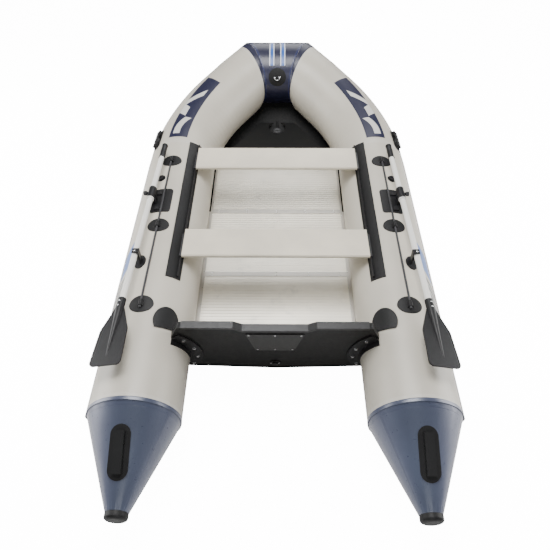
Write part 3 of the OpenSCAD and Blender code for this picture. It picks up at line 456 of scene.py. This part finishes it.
def tube_material():
    """Grey fabric: seam tapes, a navy panel on each arm, dark bars and a blue patch by the oars."""
    parts = base_material("grey_fabric", GREY, 0.40, 0.035, 1400, 0.10, coat=0.06, soil=0.05)
    weave(parts, 5200, 0.10)
    nt = parts["nt"]
    along, around = attribute(nt, "along"), attribute(nt, "around")
    w = mathn(nt, "MULTIPLY", around, math.radians(1) * TUBE_R)
    tape = window(nt, along, 0.0, 0.030)
    tape = mathn(nt, "MAXIMUM", tape, window(nt, along, STRAIGHT - 0.018, STRAIGHT + 0.018))
    bow_end = STRAIGHT + PATH_LEN
    tape = mathn(nt, "MAXIMUM", tape, window(nt, along, bow_end - 0.05, bow_end + 0.01))
    tape = mathn(nt, "MAXIMUM", tape, window(nt, around, -141.0, -133.0, 0.3))
    colour = mix(nt, mathn(nt, "MULTIPLY", tape, 0.35), parts["colour"], (0.56, 0.54, 0.50))
    # navy panel along the arm, with three pale shapes: a bent bar, a block and a slash
    mid = mathn(nt, "SUBTRACT", w, 0.012)
    panel = mathn(nt, "MULTIPLY", window(nt, along, 1.845, 2.470, 0.0012),
                  window(nt, mid, -0.062, 0.062, 0.0012))
    colour = mix(nt, panel, colour, NAVY)
    late = mathn(nt, "MAXIMUM", mathn(nt, "SUBTRACT", along, 1.93), 0.0)
    bent = mathn(nt, "ADD", mid, mathn(nt, "MULTIPLY", mathn(nt, "MULTIPLY", late, late), 2.2))
    bar = mathn(nt, "MULTIPLY", window(nt, along, 1.885, 2.065), window(nt, bent, -0.004, 0.040))
    lean = mathn(nt, "ADD", along, mathn(nt, "MULTIPLY", mid, -0.5))
    block = mathn(nt, "MULTIPLY", window(nt, lean, 2.075, 2.165), window(nt, mid, 0.006, 0.0605))
    lean = mathn(nt, "ADD", along, mathn(nt, "MULTIPLY", mid, 1.4))
    slash = mathn(nt, "MULTIPLY", window(nt, lean, 2.262, 2.325), window(nt, mid, -0.030, 0.0605))
    marks = mathn(nt, "MAXIMUM", mathn(nt, "MAXIMUM", bar, block), slash)
    colour = mix(nt, marks, colour, (0.56, 0.55, 0.52))
    # plain dark bars and a blue patch on the outboard shoulder by the oars
    slant = mathn(nt, "ADD", along, mathn(nt, "MULTIPLY", around, 0.0045))
    stripes = mathn(nt, "GREATER_THAN", mathn(nt, "FRACT", mathn(nt, "MULTIPLY", slant, 22.0)), 0.35)
    band = mathn(nt, "MULTIPLY", window(nt, slant, 0.70, 0.92, 0.001), window(nt, around, 33.0, 62.0, 0.3))
    band = mathn(nt, "MULTIPLY", band, stripes)
    colour = mix(nt, mathn(nt, "MULTIPLY", band, 0.8), colour, (0.09, 0.10, 0.12))
    blue = mathn(nt, "MULTIPLY", window(nt, slant, 0.95, 1.13, 0.001), window(nt, around, 36.0, 58.0, 0.3))
    colour = mix(nt, mathn(nt, "MULTIPLY", blue, 0.85), colour, (0.04, 0.13, 0.42))
    set_colour(parts, colour)
    raised(parts, mathn(nt, "MAXIMUM", tape, panel), 0.0009)
    return parts["mat"]


def bow_material():
    """Navy fabric with two bright blue bands edged in white, from the crown down the front."""
    parts = base_material("navy_fabric", NAVY, 0.36, 0.10, 1400, 0.10, coat=0.10, soil=0.08)
    weave(parts, 5200, 0.10)
    nt = parts["nt"]
    x = mathn(nt, "ABSOLUTE", attribute(nt, "along"))
    around = attribute(nt, "around")
    run = window(nt, around, -47.0, 150.0, 0.3)
    blue = mathn(nt, "MULTIPLY", window(nt, x, 0.026, 0.056, 0.0006), run)
    white = mathn(nt, "MAXIMUM", window(nt, x, 0.0215, 0.0275, 0.0005), window(nt, x, 0.050, 0.056, 0.0005))
    white = mathn(nt, "MULTIPLY", white, run)
    colour = mix(nt, blue, parts["colour"], (0.03, 0.10, 0.36))
    colour = mix(nt, white, colour, (0.72, 0.73, 0.75))
    edge = window(nt, attribute(nt, "edge"), 0.90, 1.1, 0.004)
    colour = mix(nt, mathn(nt, "MULTIPLY", edge, 0.3), colour, (0.03, 0.045, 0.16))
    set_colour(parts, colour)
    raised(parts, mathn(nt, "MAXIMUM", edge, white), 0.0007)
    return parts["mat"]


def cone_material():
    """Slate blue fabric with a painted sheen that lightens it towards the edges seen edge-on, with a seam
    tape at its wide end and lengthwise gore seams.
    """
    parts = base_material("slate_fabric", SLATE, 0.30, 0.10, 1300, 0.10, coat=0.5, soil=0.10, metallic=0.12)
    weave(parts, 5200, 0.10)
    nt = parts["nt"]
    along, around = attribute(nt, "along"), attribute(nt, "around")
    tape = window(nt, along, -0.01, 0.028)
    gore = mathn(nt, "MAXIMUM", window(nt, around, -62.0, -57.0, 0.3), window(nt, around, 57.0, 62.0, 0.3))
    mask = mathn(nt, "MAXIMUM", tape, gore)
    # painted sheen: the colour turns pale blue-grey where the surface is seen edge-on, in place of a
    # reflection of the lights
    painted_sheen = nt.nodes.new("ShaderNodeLayerWeight")
    painted_sheen.inputs["Blend"].default_value = 0.45
    colour = mix(nt, mathn(nt, "MULTIPLY", painted_sheen.outputs["Facing"], 0.45), parts["colour"], (0.30, 0.30, 0.42))
    colour = mix(nt, mathn(nt, "MULTIPLY", mask, 0.35), colour, (0.045, 0.055, 0.095))
    set_colour(parts, colour)
    raised(parts, mask, 0.0008)
    return parts["mat"]


def floor_material():
    """Extruded aluminium: long fine drawing lines across the boat, light scuffs and a satin shine."""
    parts = base_material("floor_aluminium", (0.92, 0.88, 0.78), 0.45, 0.05, 500, 0.25, metallic=0.85,
                          stretch=(0.05, 1.0, 1.0), soil=0.22)
    nt = parts["nt"]
    scuff = noise(nt, parts["co"], 7, 8, 0.72)
    worn = mathn(nt, "MULTIPLY", step(nt, scuff, 0.55, 0.72), 0.28)
    colour = mix(nt, worn, parts["colour"], (0.40, 0.40, 0.40))
    set_colour(parts, colour)
    return parts["mat"]


def board_material(name, rgb, rough, pebble, coat=0.12, specular=0.5):
    """Painted board with an orange-peel skin and faint grain along X."""
    parts = base_material(name, rgb, rough, 0.07, 700, 0.22, coat=coat, soil=0.15, specular=specular)
    nt = parts["nt"]
    grain = noise(nt, parts["co"], 16, 7, 0.65, (0.08, 1.4, 1.0))
    colour = mix(nt, mathn(nt, "MULTIPLY", step(nt, grain, 0.45, 0.75), 0.16), parts["colour"],
                 tuple(v * 0.78 for v in rgb))
    set_colour(parts, colour)
    vor = nt.nodes.new("ShaderNodeTexVoronoi")
    vor.inputs["Scale"].default_value = pebble
    nt.links.new(parts["co"], vor.inputs["Vector"])
    raised(parts, vor.outputs["Distance"], 0.0003)
    return parts["mat"]


def pad_material():
    """Dark moulded pad with a diamond mesh: the product of two crossed waves, with painted shade in its
    grooves and a painted highlight on its ridges.
    """
    parts = base_material("pad_plastic", (0.02, 0.02, 0.02), 0.55, 0.10, 700, 0.2)
    nt = parts["nt"]
    sep = nt.nodes.new("ShaderNodeSeparateXYZ")
    nt.links.new(parts["co"], sep.inputs[0])
    p = mathn(nt, "MULTIPLY", mathn(nt, "ADD", sep.outputs[0], sep.outputs[2]), 520.0)
    q = mathn(nt, "MULTIPLY", mathn(nt, "SUBTRACT", sep.outputs[0], sep.outputs[2]), 520.0)
    net = mathn(nt, "MAXIMUM", mathn(nt, "SINE", p), mathn(nt, "SINE", q))
    # painted shade and highlight: the mesh's low grooves are coloured near black and its raised ridges dark
    # grey
    colour = mix(nt, step(nt, net, 0.4, 0.95), (0.004, 0.004, 0.004), (0.045, 0.044, 0.042))
    set_colour(parts, colour)
    raised(parts, step(nt, net, 0.2, 0.9), 0.0016)
    return parts["mat"]


def rope_material():
    """Black rope with short pale fibres."""
    parts = base_material("rope", (0.030, 0.030, 0.033), 0.72, 0.2, 2500, 0.4, soil=0.2)
    nt = parts["nt"]
    fibre = noise(nt, parts["co"], 900, 4, 0.7, (1, 0.25, 1))
    set_colour(parts, mix(nt, step(nt, fibre, 0.58, 0.74), parts["colour"], (0.13, 0.13, 0.14)))
    return parts["mat"]


def plain_materials():
    """The remaining finishes, one for each slot."""
    made = {
        "black_fabric": base_material("black_fabric", (0.006, 0.006, 0.006), 0.6, 0.2, 1200, 0.25, soil=0.3,
                                      specular=0.2),
        "black_rubber": base_material("black_rubber", (0.008, 0.008, 0.0085), 0.5, 0.2, 800, 0.30, soil=0.3,
                                      specular=0.3),
        "grey_rubber": base_material("grey_rubber", (0.12, 0.125, 0.135), 0.55, 0.1, 700, 0.25, soil=0.3),
        "black_plastic": base_material("black_plastic", (0.008, 0.008, 0.009), 0.42, 0.15, 1000, 0.16,
                                       soil=0.2, specular=0.35),
        "dark_grey_plastic": base_material("dark_grey_plastic", (0.022, 0.022, 0.024), 0.42, 0.12, 900, 0.18),
        "joiner_aluminium": base_material("joiner_aluminium", (0.62, 0.60, 0.56), 0.45, 0.06, 600, 0.2,
                                          metallic=0.9, stretch=(0.05, 1, 1), soil=0.15),
        "oar_tube": base_material("oar_tube", (0.74, 0.73, 0.69), 0.30, 0.05, 900, 0.06, coat=0.3, soil=0.08),
        "stainless": base_material("stainless", (0.70, 0.71, 0.72), 0.20, 0.05, 700, 0.06, metallic=1.0,
                                   soil=0.1),
    }
    weave(made["black_fabric"], 4200, 0.2)
    out = {k: v["mat"] for k, v in made.items()}
    out["grey_fabric"] = tube_material()
    out["navy_fabric"] = bow_material()
    out["slate_fabric"] = cone_material()
    out["floor_aluminium"] = floor_material()
    out["black_board"] = board_material("black_board", (0.006, 0.006, 0.0058), 0.55, 260, 0.02, 0.25)
    out["bench_board"] = board_material("bench_board", (0.66, 0.605, 0.49), 0.42, 420)
    out["pad"] = pad_material()
    out["rope"] = rope_material()
    return out


FINISHES = {}


def dress(obj, slot, body):
    """Gives a new piece the finish of the slot and parents it to its body's empty."""
    obj.data.materials.clear()
    obj.data.materials.append(FINISHES[slot])
    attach(obj, body)
    return obj


# ---------- operators ----------


class DINGHY_OT_stage(bpy.types.Operator):
    """Makes the floor, the lights, the world and the camera"""

    bl_idname = "dinghy.stage"
    bl_label = "Stage"

    def execute(self, context):
        st = context.scene.dinghy
        pale = base_material("studio_floor", (0.86, 0.86, 0.855), 0.9, 0.005, 300, 0.01, soil=0.0,
                             specular=0.1)
        square = ((-1, -1), (1, -1), (1, 1), (-1, 1))
        corners = [(x * FLOOR_REACH, y * FLOOR_REACH, FLOOR_Z) for x, y in square]
        floor = new_object("studio_floor", corners, [(0, 1, 2, 3)])
        floor.data.materials.append(pale["mat"])
        glow = pale["nt"].nodes.new("ShaderNodeLightPath").outputs["Is Camera Ray"]
        strength = mathn(pale["nt"], "MULTIPLY", glow, st.floor_glow)
        pale["nt"].links.new(strength, pale["shader"].inputs["Emission Strength"])
        put(pale["shader"], "Emission Color", (1, 1, 1, 1))
        world = bpy.data.worlds.new("studio")
        context.scene.world = world
        world.use_nodes = True
        back = world.node_tree.nodes["Background"]
        back.inputs["Color"].default_value = (1.0, 1.0, 1.0, 1)
        back.inputs["Strength"].default_value = 0.16
        lights = [
            ("key", (-0.3, 0.2, 4.2), (0, 0.1, 0.2), 2.2, st.key_power),
            ("fill_left", (-3.4, -0.2, 1.1), (-0.6, -0.2, 0.3), 2.4, st.fill_power),
            ("fill_right", (3.4, -0.2, 1.1), (0.6, -0.2, 0.3), 2.4, st.fill_power),
            ("fill_stern", (0.2, -4.2, 2.6), (0, -0.8, 0.3), 2.2, st.fill_power * 0.4),
            ("rim_bow", (0.4, 4.2, 2.2), (0, 1.0, 0.4), 2.4, st.fill_power * 0.5),
        ]
        for name, place, aim, size, power in lights:
            data = bpy.data.lights.new(name, "AREA")
            data.shape = "SQUARE"
            data.size = size
            data.energy = power
            lamp = bpy.data.objects.new(name, data)
            context.scene.collection.objects.link(lamp)
            lamp.location = place
            lamp.rotation_euler = (Vector(aim) - Vector(place)).to_track_quat("-Z", "Y").to_euler()
        pitch, yaw, roll = math.radians(50), math.radians(-0.656), math.radians(-0.27)
        forward = Vector((math.sin(yaw) * math.cos(pitch), math.cos(yaw) * math.cos(pitch), -math.sin(pitch)))
        right = forward.cross(Vector((0, 0, 1))).normalized()
        up = right.cross(forward)
        right, up = right * math.cos(roll) + up * math.sin(roll), up * math.cos(roll) - right * math.sin(roll)
        data = bpy.data.cameras.new("camera")
        data.angle = 2 * math.atan(275 / 521.5)
        data.clip_end = 60
        camera = bpy.data.objects.new("camera", data)
        context.scene.collection.objects.link(camera)
        turn = Matrix((right, up, -forward)).transposed().to_4x4()
        camera.matrix_world = Matrix.Translation((0.017, -2.232, 2.42)) @ turn
        context.scene.camera = camera
        return {"FINISHED"}


class DINGHY_OT_materials(bpy.types.Operator):
    """Makes the finishes and gives each CAD node the one of its slot"""

    bl_idname = "dinghy.materials"
    bl_label = "Materials"

    def execute(self, context):
        FINISHES.update(plain_materials())
        for item in frame["record"]["subparts"]:
            obj = node_of[item["node"]]
            obj.data.materials.clear()
            key = "pad" if item["node"] == "motor_pads" else item["material_slot"]
            obj.data.materials.append(FINISHES[key])
        return {"FINISHED"}


class DINGHY_OT_tubes(bpy.types.Operator):
    """Makes the smooth skins of the side tubes, the bow tube and the stern cones"""

    bl_idname = "dinghy.tubes"
    bl_label = "Tubes"

    def execute(self, context):
        st = context.scene.dinghy
        for name, side in (("port", -1), ("starboard", 1)):
            skin = dress(tube_skin(f"tube_skin_{name}", side, st), "grey_fabric", "hull")
            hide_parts(f"side_tube_{name}", f"bow_arm_{name}")
            cone = dress(cone_skin(f"cone_skin_{name}", side, st), "slate_fabric", "hull")
            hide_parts(f"stern_cone_{name}")
        bow = dress(bow_skin(), "navy_fabric", "hull")
        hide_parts("bow_tube")
        return {"FINISHED"}


class DINGHY_OT_seams(bpy.types.Operator):
    """Makes the raised tapes over the fabric seams"""

    bl_idname = "dinghy.seams"
    bl_label = "Seam tapes"

    def execute(self, context):
        for name, side in (("port", -1), ("starboard", 1)):
            tape = seam_band(f"stern_tape_{name}", side, -0.004, 0.014, 0.0009)
            dress(tape, "slate_fabric", "hull")
            mitre = STRAIGHT + PATH_LEN
            bow_tape = seam_band(f"bow_tape_{name}", side, mitre - 0.034, mitre - 0.001, 0.0009)
            dress(bow_tape, "navy_fabric", "hull")
        return {"FINISHED"}


class DINGHY_OT_ropes(bpy.types.Operator):
    """Makes the laid grab ropes"""

    bl_idname = "dinghy.ropes"
    bl_label = "Grab ropes"

    def execute(self, context):
        for name, side in (("port", -1), ("starboard", 1)):
            rope, path = rope_skin(f"rope_{name}", side, context.scene.dinghy)
            dress(rope, "rope", "hull")
            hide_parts(f"grab_rope_{name}")
        return {"FINISHED"}


class DINGHY_OT_hardware(bpy.types.Operator):
    """Makes the rivets of the floor, the blades and the small fittings"""

    bl_idname = "dinghy.hardware"
    bl_label = "Small hardware"

    def execute(self, context):
        low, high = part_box("floor_joiners")
        top = high.z
        parts = []
        for i in range(1, 4):
            y = TRANSOM_Y + 0.036 + i * 0.530 - 0.005
            for k in (-0.37, -0.19, 0.0, 0.19, 0.37):
                for dy in (-0.011, 0.011):
                    parts.append(stud((k, y + dy, top), (0, 0, 1), 0.0042, 0.0016))
        low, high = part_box("floor_stringers")
        for side in (-1, 1):
            for y in np.arange(low.y + 0.06, high.y - 0.03, 0.12):
                foot = (side * (FLOOR_HALF_W + 0.0045), float(y), high.z)
                parts.append(stud(foot, (0, 0, 1), 0.0028, 0.0012))
        dress(merge("floor_rivets", parts), "stainless", "hull")
        for name, side in (("port", -1), ("starboard", 1)):
            along = np.array([-side * math.sin(OAR_TOE), math.cos(OAR_TOE), 0])
            across = np.array([side * math.cos(OAR_TOE), math.sin(OAR_TOE), 0])
            normal = np.array([0, 0, 1.0]) * math.cos(BLADE_TILT) + across * math.sin(BLADE_TILT)
            lock = np.array([side * (HALF_SPACING + LOCK_OUT), SEAM_Y + LOCK_ALONG, OAR_Z])
            parts = [stud(lock - along * d + normal * 0.019, normal, 0.0045, 0.0022) for d in (0.765, 0.792)]
            dress(merge(f"blade_rivets_{name}", parts), "stainless", f"oar_{name}")
            clip = lock - along * CLIP_BACK
            parts = [stud(clip + np.array([0, 0, 0.0218]), (0, 0, 1), 0.0065, 0.0022)]
            dress(merge(f"clip_stud_{name}", parts), "stainless", "hull")
        u = np.array([1.0, 0, 0])
        up = np.array([0, -math.sin(RAKE), math.cos(RAKE)])
        out = np.array([0, -math.cos(RAKE), -math.sin(RAKE)])
        base = np.array([0, TRANSOM_Y, 0])
        parts = [stud(base + u * s * 0.020 + up * 0.072 + out * 0.005, out, 0.0038, 0.0016) for s in (-1, 1)]
        dress(merge("drain_screws", parts), "stainless", "hull")
        return {"FINISHED"}


class DINGHY_PT_panel(bpy.types.Panel):
    """Buttons for the dinghy's pieces"""

    bl_idname = "DINGHY_PT_panel"
    bl_label = "Dinghy"
    bl_space_type = "VIEW_3D"
    bl_region_type = "UI"
    bl_category = "Dinghy"

    def draw(self, context):
        st = context.scene.dinghy
        for key in ("rings_along", "sides", "pucker", "lay_len", "key_power", "fill_power"):
            self.layout.prop(st, key)
        for op in OPERATORS:
            self.layout.operator(op.bl_idname)


OPERATORS = (
    DINGHY_OT_stage,
    DINGHY_OT_materials,
    DINGHY_OT_tubes,
    DINGHY_OT_seams,
    DINGHY_OT_ropes,
    DINGHY_OT_hardware,
)
CLASSES = (DinghySettings, *OPERATORS, DINGHY_PT_panel)


def register():
    for cls in CLASSES:
        bpy.utils.register_class(cls)
    bpy.types.Scene.dinghy = bpy.props.PointerProperty(type=DinghySettings)


def unregister():
    del bpy.types.Scene.dinghy
    for cls in reversed(CLASSES):
        bpy.utils.unregister_class(cls)


def main():
    register()
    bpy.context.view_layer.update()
    bpy.ops.dinghy.stage()
    bpy.ops.dinghy.materials()
    bpy.ops.dinghy.tubes()
    bpy.ops.dinghy.seams()
    bpy.ops.dinghy.ropes()
    bpy.ops.dinghy.hardware()


if __name__ == "__main__":
    main()
